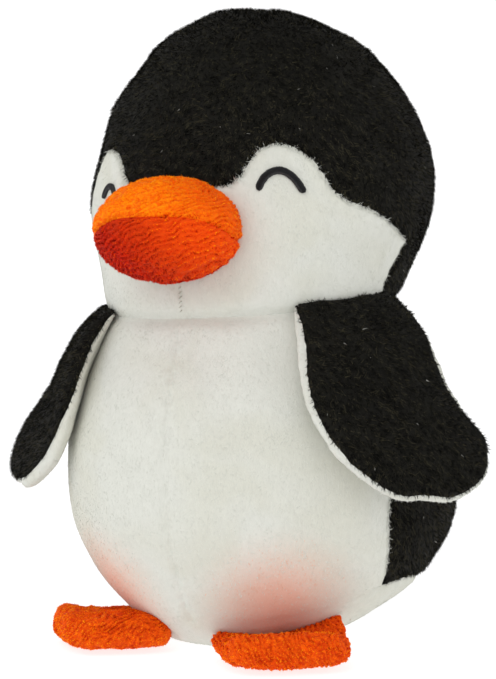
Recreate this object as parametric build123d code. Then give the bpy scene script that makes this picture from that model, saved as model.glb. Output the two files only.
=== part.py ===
from build123d import *
import math
import os

# A stuffed fabric penguin, standing. The origin is the centre of its flat base,
# on the ground. +Z is up, the penguin faces -Y and its left side is +X.
# Millimetres throughout.

# ---- Driving dimensions ----

HEIGHT = 230.0
NECK_Z = 121.0
NECK_R = 53.5
SKIN = 2.0

HEAD_R = 62.3
HEAD_MID_Z = 165.0
CROWN_R = 42.5
CROWN_Z = 212.0

BODY_R = 71.2
BODY_MID_Z = 57.0
CHEST_R = 64.8
CHEST_Z = 89.0
HIP_R = 61.5
HIP_Z = 26.5
BASE_R = 34.0

# Seams of the head: heights and depths of the white face's border, in side view
FACE_PEAK_Z = 158.0
BROW_Y = -50.5
BROW_Z = 173.2
CHEEK_Y = -3.0
CHEEK_Z = 142.0
CHEEK_FOOT_Y = -9.0
HEAD_BACK_Y = 25.0

# Seams of the body
SIDE_SEAM_TOP_Y = -9.0
SIDE_SEAM_MID_Y = -27.5
SIDE_SEAM_MID_Z = 50.0
SIDE_SEAM_FOOT_Y = -13.0
BASE_SEAM_Z = 22.0
BASE_SEAM_TILT = 7.0

BEAK_HALF_WIDTH = 26.5
BEAK_HALF_HEIGHT = 17.7
BEAK_HALF_DEPTH = 22.0
BEAK_Y = -69.0
BEAK_Z = 144.5
BEAK_SEAM_Z = 146.0

EYE_AZIMUTH = 32.9
EYE_Z = 156.0
EYE_SPAN_R = 8.0
EYE_THREAD = 2.4
EYE_PROUD = 0.8
EYE_HALF_ANGLE = 68.0

PAD_SECTION_ANGLES = [-78, -52, -22, 22, 52, 78]

WING_THICK = 11.0
WING_AZIMUTH = 60.0
WING_LEAN = 26.0
WING_ROOT_R = 60.0
WING_ROOT_Z = 118.0

FOOT_THICK = 13.0
FOOT_AZIMUTH = 40.0
FOOT_HALF_WIDTH = 24.0
FOOT_REAR = 43.0
FOOT_TOE = 77.5
FOOT_LIFT = 0.3
FOOT_HINGE_R = 44.0
FOOT_HINGE_Z = 10.0
FOOT_TURNS = [0, 4, 8, 12, 16]

LABEL_AZIMUTH = 152.0
LABEL_THICK = 0.5
LABEL_WIDTH = 13.0
LABEL_HEIGHT = 20.0
LABEL_Z = 36.0

GAP = 0.5
BIG = 600.0


# ---- Solids of revolution ----


def flat_face(*curves):
    """The face inside curves that join end to end."""
    return make_face([edge for curve in curves for edge in curve.edges()])


def head_ball(inset):
    """The head above the neck plane, with its surface moved inwards by inset."""
    slant = inset * math.sqrt(0.5)
    side = Spline(
        (0, 0, HEIGHT - inset),
        (CROWN_R - slant, 0, CROWN_Z - slant),
        (HEAD_R - inset, 0, HEAD_MID_Z),
        (NECK_R - inset, 0, NECK_Z),
        tangents=[(1, 0, 0), (-0.36, 0, -1)],
    )
    core = Polyline((NECK_R - inset, 0, NECK_Z), (0, 0, NECK_Z), (0, 0, HEIGHT - inset))
    return revolve(flat_face(side, core), axis=Axis.Z)


def body_ball(inset):
    """The body below the neck plane, with its surface moved inwards by inset."""
    slant = inset * math.sqrt(0.5)
    side = Spline(
        (NECK_R - inset, 0, NECK_Z),
        (CHEST_R - inset, 0, CHEST_Z),
        (BODY_R - inset, 0, BODY_MID_Z),
        (HIP_R - slant, 0, HIP_Z + slant),
        (BASE_R, 0, inset),
        tangents=[(0.36, 0, -1), (-1, 0, 0)],
    )
    core = Polyline((BASE_R, 0, inset), (0, 0, inset), (0, 0, NECK_Z), (NECK_R - inset, 0, NECK_Z))
    return revolve(flat_face(side, core), axis=Axis.Z)


# ---- Cutters ----


def half(axis, sign):
    """Half of space: the side of the origin plane that sign points to along axis."""
    return Pos(*[sign * BIG / 2 * c for c in axis]) * Box(BIG, BIG, BIG)


def side_cutter(curve, corners):
    """A prism across the whole width, from a curve and corner points in the YZ plane."""
    closing = Polyline(*[(0, y, z) for y, z in corners])
    return extrude(flat_face(curve, closing), BIG / 2, dir=(1, 0, 0), both=True)


def face_region():
    """The space in front of and below the white face's border."""
    border = Spline(
        (0, -HEAD_R - 1, FACE_PEAK_Z),
        (0, -57.2, 165.0),
        (0, BROW_Y, BROW_Z),
        (0, -41.5, 165.5),
        (0, -36.5, 156.7),
        (0, -26.5, 151.9),
        (0, CHEEK_Y, CHEEK_Z),
    )
    corners = [
        (CHEEK_Y, CHEEK_Z),
        (CHEEK_FOOT_Y, NECK_Z),
        (CHEEK_FOOT_Y, NECK_Z - 20),
        (-BIG / 4, NECK_Z - 20),
        (-BIG / 4, FACE_PEAK_Z),
        (-HEAD_R - 1, FACE_PEAK_Z),
    ]
    return side_cutter(border, corners)


def front_region():
    """The space in front of the body's side seams."""
    seam = Spline(
        (0, SIDE_SEAM_TOP_Y, NECK_Z + 1),
        (0, SIDE_SEAM_MID_Y, SIDE_SEAM_MID_Z),
        (0, SIDE_SEAM_FOOT_Y, 0),
    )
    corners = [
        (SIDE_SEAM_FOOT_Y, 0),
        (-BIG / 4, 0),
        (-BIG / 4, NECK_Z + 1),
        (SIDE_SEAM_TOP_Y, NECK_Z + 1),
    ]
    return side_cutter(seam, corners)


def base_region():
    """The space under the base seam, which is lower in front than behind."""
    block = Pos(0, 0, -BIG / 2) * Box(BIG, BIG, BIG)
    return Pos(0, 0, BASE_SEAM_Z) * Rot(BASE_SEAM_TILT, 0, 0) * block


# ---- Stuffed pads ----


def moved_in(points, distance):
    """The points of an anticlockwise outline, each moved inwards across its neighbours' chord."""
    moved = []
    for i, (x, y) in enumerate(points):
        ahead = points[(i + 1) % len(points)]
        behind = points[i - 1]
        chord = (ahead[0] - behind[0], ahead[1] - behind[1])
        length = math.hypot(*chord)
        moved.append((x - distance * chord[1] / length, y + distance * chord[0] / length))
    return moved


def soft_pad(points, thickness, inset):
    """A flat pad about the XY plane with a round edge, its whole surface moved in by inset."""
    radius = thickness / 2 - inset
    sections = []
    for angle in PAD_SECTION_ANGLES:
        a = math.radians(angle)
        outline = moved_in(points, inset + radius * (1 - math.cos(a)))
        sections.append(Pos(0, 0, radius * math.sin(a)) * make_face(Spline(*outline, periodic=True)))
    return loft(sections)


def split_pad(points, thickness):
    """Returns a pad's skin on the +Z side, its skin on the -Z side, and its filling."""
    whole = soft_pad(points, thickness, 0)
    filling = soft_pad(points, thickness, SKIN)
    skin = whole - filling
    return skin & half((0, 0, 1), 1), skin & half((0, 0, 1), -1), filling


def wing_outline():
    """The wing's plan: x towards the back, y down the wing, from the root line at y = 0."""
    return [
        (-17, 1),
        (2, -1),
        (19, 1),
        (27, 12),
        (32, 31),
        (38, 48),
        (34, 62),
        (19, 70),
        (-1, 67),
        (-19, 54),
        (-27, 34),
        (-25.5, 12),
    ]


def foot_outline():
    """The foot's plan: x across the foot, y forward from the centre of the body."""
    depth = FOOT_TOE - FOOT_REAR
    return [
        (0, FOOT_REAR),
        (0.8 * FOOT_HALF_WIDTH, FOOT_REAR + 0.06 * depth),
        (FOOT_HALF_WIDTH, FOOT_REAR + 0.42 * depth),
        (0.66 * FOOT_HALF_WIDTH, FOOT_REAR + 0.88 * depth),
        (0, FOOT_TOE),
        (-0.66 * FOOT_HALF_WIDTH, FOOT_REAR + 0.88 * depth),
        (-FOOT_HALF_WIDTH, FOOT_REAR + 0.42 * depth),
        (-0.8 * FOOT_HALF_WIDTH, FOOT_REAR + 0.06 * depth),
    ]


def radial(azimuth):
    """The level direction at an angle from the front, turning towards the left side."""
    a = math.radians(azimuth)
    return Vector(math.sin(a), -math.cos(a), 0)


def wing_plane():
    """The left wing's plane: x towards the back, y down the wing, z towards the body."""
    out = radial(WING_AZIMUTH)
    lean = math.radians(WING_LEAN)
    down = out * math.sin(lean) - Vector(0, 0, 1) * math.cos(lean)
    back = Vector(-out.Y, out.X, 0)
    root = out * WING_ROOT_R + Vector(0, 0, WING_ROOT_Z)
    return Plane(origin=root, x_dir=back, z_dir=back.cross(down))


def foot_plane():
    """The left foot's plane: x across it, y forward along it, z up."""
    out = radial(FOOT_AZIMUTH)
    across = Vector(out.Y, -out.X, 0)
    level = FOOT_LIFT + FOOT_THICK / 2
    return Plane(origin=(0, 0, level), x_dir=across, z_dir=across.cross(out))


def foot_clearance():
    """All the space that the body takes as the left foot sees it while its toes lift."""
    out = radial(FOOT_AZIMUTH)
    hinge = Axis(out * FOOT_HINGE_R + Vector(0, 0, FOOT_HINGE_Z), (-out.Y, out.X, 0))
    body = body_ball(-GAP)
    return [body.rotate(hinge, turn) for turn in FOOT_TURNS]


# ---- Small parts ----


def eye():
    """The left eye: an arched band of satin stitch lying on the face."""
    out = radial(EYE_AZIMUTH)
    sheet = Plane(origin=Vector(0, 0, EYE_Z) + out * (HEAD_R - 8), x_dir=Vector(-out.Y, out.X, 0), z_dir=out)
    rise = math.radians(90 - EYE_HALF_ANGLE)
    inner = EYE_SPAN_R - EYE_THREAD / 2
    outer = EYE_SPAN_R + EYE_THREAD / 2
    reach = outer / math.cos(rise)
    wedge = Polyline(
        (0, 0),
        (reach, reach * math.tan(rise)),
        (reach, 2 * reach),
        (-reach, 2 * reach),
        (-reach, reach * math.tan(rise)),
        close=True,
    )
    ring = make_face(CenterArc((0, 0), outer, 0, 360)) - make_face(CenterArc((0, 0), inner, 0, 360))
    band = extrude(sheet * (ring & make_face(wedge)), 16)
    return band & (head_ball(-EYE_PROUD) - head_ball(0))


def care_label():
    """A blank label sewn flat into the back, above the base seam."""
    strip = Pos(0, 0, -LABEL_HEIGHT / 2) * Box(LABEL_WIDTH, LABEL_THICK, LABEL_HEIGHT)
    out = radial(LABEL_AZIMUTH)
    place = Plane(origin=out * (BODY_R + 0.4) + Vector(0, 0, LABEL_Z + LABEL_HEIGHT), x_dir=(-out.Y, out.X, 0))
    return (place * strip) - body_ball(0)


# ---- Assembly ----

nodes = {}

head_skin = head_ball(0) - head_ball(SKIN)
head_filling = head_ball(SKIN)
face = head_skin & face_region()
crown = head_skin - face_region()
hood_region = Pos(0, HEAD_BACK_Y, 0) * half((0, 1, 0), -1)
nodes["head_hood"] = crown & hood_region
head_back = crown - hood_region
nodes["head_filling"] = head_filling

body_skin = body_ball(0) - body_ball(SKIN)
nodes["base_panel"] = body_skin & base_region()
belt = body_skin - base_region()
belly = belt & front_region()
back = belt - front_region()
nodes["body_filling"] = body_ball(SKIN)

for name, sign in (("left", 1), ("right", -1)):
    side = half((1, 0, 0), sign)
    nodes["face_" + name] = face & side
    nodes["head_back_" + name] = head_back & side
    nodes["body_front_" + name] = belly & side
    nodes["body_back_" + name] = back & side


def ellipsoid(inset):
    """The beak's whole ellipsoid, moved inwards by inset."""
    size = (BEAK_HALF_WIDTH - inset, BEAK_HALF_DEPTH - inset, BEAK_HALF_HEIGHT - inset)
    return Pos(0, BEAK_Y, BEAK_Z) * scale(Sphere(1), by=size)


beak_outer = ellipsoid(0) - head_ball(0)
beak_inner = ellipsoid(SKIN) - head_ball(0)
beak_skin = beak_outer - beak_inner
above_beak_seam = Pos(0, 0, BEAK_SEAM_Z) * half((0, 0, 1), 1)
nodes["beak_upper"] = beak_skin & above_beak_seam
nodes["beak_lower"] = beak_skin - above_beak_seam
nodes["beak_filling"] = beak_inner

nodes["eye_left"] = eye()
nodes["eye_right"] = mirror(nodes["eye_left"], about=Plane.YZ)
nodes["care_label"] = care_label()

wing_parts = split_pad(wing_outline(), WING_THICK)
foot_parts = split_pad(foot_outline(), FOOT_THICK)
bodies_near_foot = foot_clearance()
for label, piece in zip(("lining", "outer", "filling"), wing_parts):
    nodes["wing_left_" + label] = wing_plane() * piece
    nodes["wing_right_" + label] = mirror(nodes["wing_left_" + label], about=Plane.YZ)
for label, piece in zip(("top", "sole", "filling"), foot_parts):
    foot_piece = foot_plane() * piece
    for body in bodies_near_foot:
        foot_piece = foot_piece - body
    nodes["foot_left_" + label] = foot_piece
    nodes["foot_right_" + label] = mirror(nodes["foot_left_" + label], about=Plane.YZ)

os.makedirs("parts", exist_ok=True)
for name, shape in nodes.items():
    solids = list(shape.solids())
    piece = solids[0] if len(solids) == 1 else Compound(solids)
    piece.label = name
    export_step(piece, "parts/" + name + ".step")
    print(name, len(solids), round(piece.volume), piece.is_valid)
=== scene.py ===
import math

import bpy
import numpy as np
from mathutils import Matrix, Vector
from mathutils.geometry import delaunay_2d_cdt


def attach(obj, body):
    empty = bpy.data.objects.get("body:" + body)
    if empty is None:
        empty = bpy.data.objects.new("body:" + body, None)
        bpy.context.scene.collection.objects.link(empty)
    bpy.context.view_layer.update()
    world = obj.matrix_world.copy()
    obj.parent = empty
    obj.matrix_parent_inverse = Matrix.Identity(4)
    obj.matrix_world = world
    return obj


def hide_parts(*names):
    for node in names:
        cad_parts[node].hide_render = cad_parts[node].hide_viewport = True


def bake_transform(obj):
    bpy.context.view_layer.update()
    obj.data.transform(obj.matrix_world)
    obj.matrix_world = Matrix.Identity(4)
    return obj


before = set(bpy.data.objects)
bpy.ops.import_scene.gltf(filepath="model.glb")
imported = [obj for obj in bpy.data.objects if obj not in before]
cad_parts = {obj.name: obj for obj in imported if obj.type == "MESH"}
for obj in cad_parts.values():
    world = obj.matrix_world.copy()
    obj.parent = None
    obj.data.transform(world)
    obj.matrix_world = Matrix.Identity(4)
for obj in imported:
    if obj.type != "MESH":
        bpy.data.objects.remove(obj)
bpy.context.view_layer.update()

# Lengths are in millimetres until a piece is made, and angles in degrees.
# Azimuth is measured from the front (-Y) towards the penguin's left (+X).
MM = 0.001

# ---- Shape of the head and body: height, radius and centre's y of each level ring ----

HEAD_RINGS = [
    (105, 0, -6.9), (112, 42.8, -6.9), (121, 51.1, -6.0), (133, 55.8, -3.1), (146, 60.1, -0.4),
    (160, 61.8, 2.1), (174, 60.0, 4.0), (188, 55.3, 3.5), (201, 48.1, 2.8), (213, 37.3, 0.6),
    (221.2, 22.3, -2.5), (226.1, 0, -5.2),
]
BODY_RINGS = [
    (0, 0, -13.5), (1.5, 23.3, -12.4), (7, 36.3, -8.7), (15, 48.3, -4.5), (26, 59.5, -0.7),
    (40, 67.3, 0.7), (57, 70.0, 0.1), (75, 69.0, -1.0), (92, 63.1, -3.8), (108, 56.3, -5.7),
    (121, 51.1, -6.0), (128, 39.5, -5.4), (133, 0, -4.6),
]
NECK_Z = 121
NECK_PITCH = 0.105
NECK_ROLL = 0.012
NECK_BLEND = 20

# ---- Seams: azimuth and height ----

FACE_BORDER = [
    (0, 158), (10, 158.5), (19, 160.3), (22.9, 165.2), (25.9, 170.2), (29, 172.5), (34.3, 173.2),
    (39, 171.9), (43, 169.4), (46.8, 165.5), (49.4, 161.2), (52.8, 156.7), (64.4, 151.9),
    (77.1, 146.7), (87.1, 142.1), (84.6, 134.4), (81.3, 127.1), (80, 119), (80, 95),
]
HEAD_BACK_Y = 25
SIDE_SEAM = [
    (0, 80), (22.7, 75.2), (32, 70.9), (40, 68.3), (48, 66.8), (56, 66.5), (80, 70), (105, 77), (125, 80),
]
BASE_SEAM = [(0, 12), (40, 14.5), (75, 22.5), (90, 25), (110, 23.5), (140, 23), (180, 23)]

HEAD_GRID = 90
BODY_GRID = 90
BEAK_GRID = 110

SIDES = (("left", 1), ("right", -1))


# ---- Small tools ----


def unit(v):
    return v / np.maximum(np.linalg.norm(v, axis=-1, keepdims=True), 1e-12)


def ease(a, b, x):
    t = np.clip((x - a) / (b - a), 0, 1)
    return t * t * (3 - 2 * t)


def bell(distance, width):
    return np.exp(-((distance / width) ** 2))


def azimuth(p):
    return np.degrees(np.arctan2(p[..., 0], -p[..., 1]))


def radial(degrees):
    a = np.radians(degrees)
    return np.stack([np.sin(a), -np.cos(a), np.zeros_like(a)], -1)


def cubic(knots, values, at):
    """A natural cubic spline through values at knots; values may have columns."""
    x = np.asarray(knots, float)
    y = np.asarray(values, float).reshape(len(x), -1)
    h = np.diff(x)
    n = len(x)
    a = np.eye(n)
    b = np.zeros_like(y)
    for i in range(1, n - 1):
        a[i, i - 1 : i + 2] = h[i - 1], 2 * (h[i - 1] + h[i]), h[i]
        b[i] = 6 * ((y[i + 1] - y[i]) / h[i] - (y[i] - y[i - 1]) / h[i - 1])
    m = np.linalg.solve(a, b)
    at = np.asarray(at, float)
    i = np.clip(np.searchsorted(x, at) - 1, 0, n - 2)
    t = (at - x[i])[..., None]
    w = h[i][..., None]
    slope = (y[i + 1] - y[i]) / w - w * (2 * m[i] + m[i + 1]) / 6
    out = y[i] + t * slope + t**2 * m[i] / 2 + t**3 * (m[i + 1] - m[i]) / (6 * w)
    return out.reshape(at.shape + np.asarray(values).shape[1:])


def ripple(p, wavelength, seed, count=14):
    """Smooth noise of about unit size, as a sum of plane waves."""
    g = np.random.default_rng(seed)
    k = unit(g.normal(size=(count, 3))) * (2 * np.pi / wavelength) * g.uniform(0.7, 1.3, (count, 1))
    return np.sin(p @ k.T + g.uniform(0, 2 * np.pi, count)).sum(-1) / math.sqrt(count / 2)


def geodesic(n):
    """Directions and triangles of an icosahedron with each face divided n by n."""
    g = (1 + 5**0.5) / 2
    corners = unit(np.array([
        (-1, g, 0), (1, g, 0), (-1, -g, 0), (1, -g, 0), (0, -1, g), (0, 1, g),
        (0, -1, -g), (0, 1, -g), (g, 0, -1), (g, 0, 1), (-g, 0, -1), (-g, 0, 1),
    ], float))
    faces = np.array([
        (0, 11, 5), (0, 5, 1), (0, 1, 7), (0, 7, 10), (0, 10, 11), (1, 5, 9), (5, 11, 4),
        (11, 10, 2), (10, 7, 6), (7, 1, 8), (3, 9, 4), (3, 4, 2), (3, 2, 6), (3, 6, 8),
        (3, 8, 9), (4, 9, 5), (2, 4, 11), (6, 2, 10), (8, 6, 7), (9, 8, 1),
    ])
    i, j = np.array([(i, j) for i in range(n + 1) for j in range(n + 1 - i)]).T
    number = lambda i, j: i * (n + 1) - i * (i - 1) // 2 + j
    up = i + j < n
    down = i + j < n - 1
    cells = np.vstack([
        np.stack([number(i, j)[up], number(i + 1, j)[up], number(i, j + 1)[up]], 1),
        np.stack([number(i + 1, j)[down], number(i + 1, j + 1)[down], number(i, j + 1)[down]], 1),
    ])
    a, b, c = (corners[faces[:, k]][:, None, :] for k in range(3))
    v = unit((a * (n - i - j)[:, None] + b * i[:, None] + c * j[:, None]) / n).reshape(-1, 3)
    t = (cells[None] + (np.arange(20) * len(i))[:, None, None]).reshape(-1, 3)
    _, first, same = np.unique(np.round(v, 5), axis=0, return_index=True, return_inverse=True)
    return v[first], outward(v[first], same.ravel()[t])


def outward(v, t):
    """Triangles of a closed shape round the origin, turned to face outwards."""
    a, b, c = v[t[:, 0]], v[t[:, 1]], v[t[:, 2]]
    inside_out = (np.cross(b - a, c - a) * (a + b + c)).sum(1) < 0
    t[inside_out] = t[inside_out][:, ::-1]
    return t


def normals(v, t):
    face = np.cross(v[t[:, 1]] - v[t[:, 0]], v[t[:, 2]] - v[t[:, 0]])
    out = np.zeros_like(v)
    for axis in range(3):
        for k in range(3):
            out[:, axis] += np.bincount(t[:, k], face[:, axis], len(v))
    return unit(out)


def cut(t, f, *arrays):
    """The triangles where f > 0, cut along f = 0, then the arrays that belong to their vertices."""
    positive = f > 0
    count = positive[t].sum(1)

    def odd_first(tris, wanted):
        k = np.argmax(positive[tris] == wanted, axis=1)
        return tris[np.arange(len(tris))[:, None], (k[:, None] + np.arange(3)) % 3]

    one = odd_first(t[count == 1], True)
    two = odd_first(t[count == 2], False)
    edges = np.sort(np.vstack([one[:, [0, 1]], one[:, [0, 2]], two[:, [0, 1]], two[:, [0, 2]]]), axis=1)
    pairs, where = np.unique(edges, axis=0, return_inverse=True)
    a, b = pairs.T
    share = f[a] / (f[a] - f[b])
    ids = len(f) + where.ravel()
    p, q, r, u = np.split(ids, np.cumsum([len(one), len(one), len(two)]))
    tris = np.vstack([
        t[count == 3],
        np.stack([one[:, 0], p, q], 1),
        np.stack([r, two[:, 1], two[:, 2]], 1),
        np.stack([r, two[:, 2], u], 1),
    ])
    used, tris = np.unique(tris, return_inverse=True)
    out = [tris.reshape(-1, 3)]
    for x in arrays:
        w = share if x.ndim == 1 else share[:, None]
        out.append(np.concatenate([x, x[a] + (x[b] - x[a]) * w])[used])
    return out


def thicken(v, t, n, depth):
    """A closed shell: the surface, a copy moved in by depth, and walls round its edges."""
    m = len(v)
    e = np.vstack([t[:, [0, 1]], t[:, [1, 2]], t[:, [2, 0]]])
    _, first, count = np.unique(e.min(1) * m + e.max(1), return_index=True, return_counts=True)
    a, b = e[first[count == 1]].T
    walls = np.vstack([np.stack([b, a, a + m], 1), np.stack([b, a + m, b + m], 1)])
    inner = v - n * depth
    inner[:, 2] = np.maximum(inner[:, 2], 0.02)
    return np.vstack([v, inner]), np.vstack([t, t[:, ::-1] + m, walls])


def make(name, v, t, materials, slot, tone=None, sharp=55, smooth=True):
    """A Blender object of triangles, v in millimetres; tone is each triangle's material."""
    mesh = bpy.data.meshes.new(name)
    mesh.vertices.add(len(v))
    mesh.vertices.foreach_set("co", (v * MM).astype(np.float32).ravel())
    mesh.loops.add(3 * len(t))
    mesh.loops.foreach_set("vertex_index", t.astype(np.int32).ravel())
    mesh.polygons.add(len(t))
    mesh.polygons.foreach_set("loop_start", np.arange(0, 3 * len(t), 3, dtype=np.int32))
    mesh.update(calc_edges=True)
    mesh.polygons.foreach_set("use_smooth", np.full(len(t), smooth))
    if tone is not None:
        mesh.polygons.foreach_set("material_index", tone.astype(np.int32))
    if sharp:
        mesh.set_sharp_from_angle(angle=math.radians(sharp))
    for m in materials:
        mesh.materials.append(m)
    obj = bpy.data.objects.new(name, mesh)
    bpy.context.scene.collection.objects.link(obj)
    return obj


# ---- Materials ----


class Tree:
    """A material's nodes. Sockets are given as node outputs or as plain values."""

    def __init__(self, name):
        self.material = bpy.data.materials.new(name)
        self.material.use_nodes = True
        self.tree = self.material.node_tree
        self.shader = self.tree.nodes["Principled BSDF"]

    def set(self, node, **sockets):
        for key, value in sockets.items():
            socket = node.inputs[int(key[1:])] if key[1:].isdigit() else node.inputs[key.replace("_", " ")]
            if isinstance(value, bpy.types.NodeSocket):
                self.tree.links.new(value, socket)
            else:
                socket.default_value = value
        return node

    def add(self, kind, settings=(), **sockets):
        node = self.tree.nodes.new("ShaderNode" + kind)
        for key, value in dict(settings).items():
            setattr(node, key, value)
        return self.set(node, **sockets)

    def where(self, scale=(1, 1, 1), turn=(0, 0, 0)):
        coordinates = self.add("TexCoord").outputs["Object"]
        mapping = self.add("Mapping", Vector=coordinates)
        mapping.inputs["Scale"].default_value = scale
        mapping.inputs["Rotation"].default_value = turn
        return mapping.outputs[0]

    def noise(self, vector, scale, detail=2.0, roughness=0.5, distortion=0.0):
        return self.add("TexNoise", Vector=vector, Scale=scale, Detail=detail, Roughness=roughness,
                        Distortion=distortion).outputs["Fac"]

    def ramp(self, factor, low, high):
        return self.add("MapRange", Value=factor, From_Min=low, From_Max=high).outputs[0]

    def mix(self, factor, a, b, kind="MIX"):
        node = self.add("Mix", {"data_type": "RGBA", "blend_type": kind}, _0=factor, _6=a, _7=b)
        return node.outputs[2]

    def math(self, kind, a, b=0.0):
        return self.add("Math", {"operation": kind}, _0=a, _1=b).outputs[0]

    def bump(self, height, distance, strength=1.0, after=None):
        node = self.add("Bump", Height=height, Distance=distance, Strength=strength)
        if after:
            self.tree.links.new(after, node.inputs["Normal"])
        return node.outputs[0]


def rgb(*levels):
    """An sRGB colour, 0 to 255, as a linear one."""
    linear = (c / 255 / 12.92 if c < 11 else ((c / 255 + 0.055) / 1.055) ** 2.4 for c in levels)
    return tuple(linear) + (1.0,)


def finish_shader(t, roughness, sheen, sheen_roughness, tint, specular):
    t.set(t.shader, Roughness=roughness, Sheen_Weight=sheen, Sheen_Roughness=sheen_roughness,
          Sheen_Tint=tint, Specular_IOR_Level=specular)
    return t.material


def plush(name, low, high, patch, sheen, tint, streak=900, bump=0.00035, blush=None):
    """Short cut pile: fine combed fibre, small clumps and broad patches of pressed nap."""
    t = Tree(name)
    combed = t.where((1, 1, 0.35))
    fibre = t.noise(combed, streak, 3, 0.65, 0.4)
    clump = t.noise(t.where(), 260, 2, 0.6, 0.8)
    broad = t.noise(t.where(), 34, 2, 0.5, 0.6)
    level = t.math("ADD", t.math("MULTIPLY", fibre, 0.6), t.math("MULTIPLY", clump, 0.4))
    colour = t.mix(t.ramp(level, 0.36, 0.66), low, high)
    colour = t.mix(t.ramp(broad, 0.42, 0.62), colour, patch, "MULTIPLY")
    # A painted reflection, where one is given, is laid over the cloth's colour.
    if blush:
        colour = blush(t, colour)
    height = t.bump(clump, bump * 1.6, 0.5)
    height = t.bump(fibre, bump, 0.7, height)
    t.set(t.shader, Base_Color=colour, Normal=height)
    return finish_shader(t, 0.9, sheen, 0.45, tint, 0.2)


def tips(name, specular=0.06, **tones):
    """Pile tips, one plain material a tone, because every number of theirs is the same all over."""
    made = []
    for tone, colour in tones.items():
        t = Tree(name + "_" + tone)
        t.set(t.shader, Base_Color=rgb(*colour))
        made.append(finish_shader(t, 0.85, 0.0, 0.4, (1, 1, 1, 1), specular))
    return made


def blushed(t, colour):
    """Painted reflection: a warm orange glow low on the belly, over each foot, standing in for light bounced
    off the orange feet.
    """
    place = t.where()
    reach = None
    for side in (-1, 1):
        spot = radial(np.array(side * 33.0)) * 0.060 + np.array((0, 0, 0.020))
        away = t.add("VectorMath", {"operation": "DISTANCE"}, _0=place, _1=tuple(spot)).outputs["Value"]
        near = t.ramp(away, 0.030, 0.006)
        reach = near if reach is None else t.math("MAXIMUM", reach, near)
    amount = t.math("MULTIPLY", t.math("POWER", reach, 1.5), 0.5)
    return t.mix(amount, colour, rgb(238, 150, 112))


BLACK = plush("black_plush", rgb(7, 6, 3), rgb(24, 23, 16), rgb(225, 222, 215), 0.02, (1, 0.98, 0.92, 1))
# White plush carries a painted reflection of the orange feet low on the belly.
WHITE = plush("white_plush", rgb(206, 207, 199), rgb(212, 213, 205), rgb(250, 249, 245), 0.05, (1, 1, 1, 1),
              bump=0.00012, blush=blushed)
FILLING = plush("fibre_filling", rgb(214, 214, 210), rgb(240, 240, 238), rgb(250, 250, 250), 0.2,
                (1, 1, 1, 1), 400, 0.001)


def towelling(name, low, high, patch, painted_fade=None):
    """Short looped pile in wavy ribs. The fade, painted light or shade: a second colour and the direction,
    start and end, in metres, over which it comes in."""
    t = Tree(name)
    loops = t.where((1, 1, 1.3))
    rib = t.noise(loops, 620, 3, 0.6, 1.2)
    broad = t.noise(t.where(), 60, 2, 0.5, 0.4)
    colour = t.mix(t.ramp(rib, 0.35, 0.65), low, high)
    colour = t.mix(t.ramp(broad, 0.4, 0.62), colour, patch, "MULTIPLY")
    if painted_fade:
        second, way, start, end = painted_fade
        along = t.add("VectorMath", {"operation": "DOT_PRODUCT"}, _0=t.where(), _1=way).outputs["Value"]
        colour = t.mix(t.ramp(along, start, end), colour, second)
    t.set(t.shader, Base_Color=colour, Normal=t.bump(rib, 0.0006, 0.8))
    return finish_shader(t, 0.85, 0.05, 0.4, (1, 0.6, 0.3, 1), 0.12)


# The beak's two halves are one fabric, painted as a lit copy above the seam and a shaded copy below it, each
# fading along this way: the upper into painted shade, the lower into painted light.
BEAK_WAY = (0.8, 0.0, 0.6)
ORANGE_PAINTED_LIT = towelling("orange_plush_painted_lit", rgb(244, 98, 0), rgb(255, 150, 0), rgb(255, 250, 244),
                       (rgb(232, 76, 2), BEAK_WAY, 0.098, 0.114))
ORANGE_PAINTED_SHADE = towelling("orange_plush_painted_shade", rgb(148, 8, 0), rgb(208, 38, 0), rgb(255, 230, 215),
                       (rgb(236, 76, 2), BEAK_WAY, 0.074, 0.100))
ORANGE_FOOT = towelling("orange_plush_foot", rgb(206, 56, 0), rgb(244, 100, 4), rgb(255, 240, 228))


def thread_material(name, low, high):
    t = Tree(name)
    strand = t.noise(t.where(), 2600, 2, 0.6)
    t.set(t.shader, Base_Color=t.mix(strand, low, high), Normal=t.bump(strand, 0.00005, 0.6))
    return finish_shader(t, 0.5, 0.1, 0.3, (1, 1, 1, 1), 0.4)


EYE = thread_material("eye_thread", rgb(12, 12, 14), rgb(34, 34, 36))
LABEL = thread_material("label_satin", rgb(228, 228, 224), rgb(248, 248, 246))
STITCH = thread_material("seam_thread", rgb(172, 170, 158), rgb(192, 190, 178))

# Of the black tips, the pale tone is painted sheen, chosen in fine patches; lint is a rare real fleck.
BLACK_TIPS = tips("black_tip", 0.12, dark=(3, 3, 1), mid=(20, 19, 11), pale=(53, 50, 37),
                  lint=(190, 188, 182))
# Of the white tips, the last tone is painted reflection, the orange of the feet bounced onto the belly; the
# others differ at random.
WHITE_TIPS = tips("white_tip", shade=(209, 210, 202), mid=(212, 213, 205), bright=(216, 217, 209),
                  blush=(226, 182, 160))
BEAK_LOOPS = tips("beak_loop", dark=(140, 8, 0), deep=(182, 20, 0), red=(216, 44, 0), orange=(240, 84, 0),
                  light=(255, 118, 0), bright=(255, 154, 6))
FOOT_LOOPS = tips("foot_loop", dark=(164, 20, 0), deep=(190, 36, 0), red=(220, 60, 0), orange=(248, 94, 0),
                  light=(255, 124, 4), bright=(255, 154, 14))

# Of each cloth: its material, its slot, and the torso's panels of it that pile grows on
CLOTHS = {"black": (BLACK, "black_plush", []), "white": (WHITE, "white_plush", [])}


# ---- Balls: the head and the body ----


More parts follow.
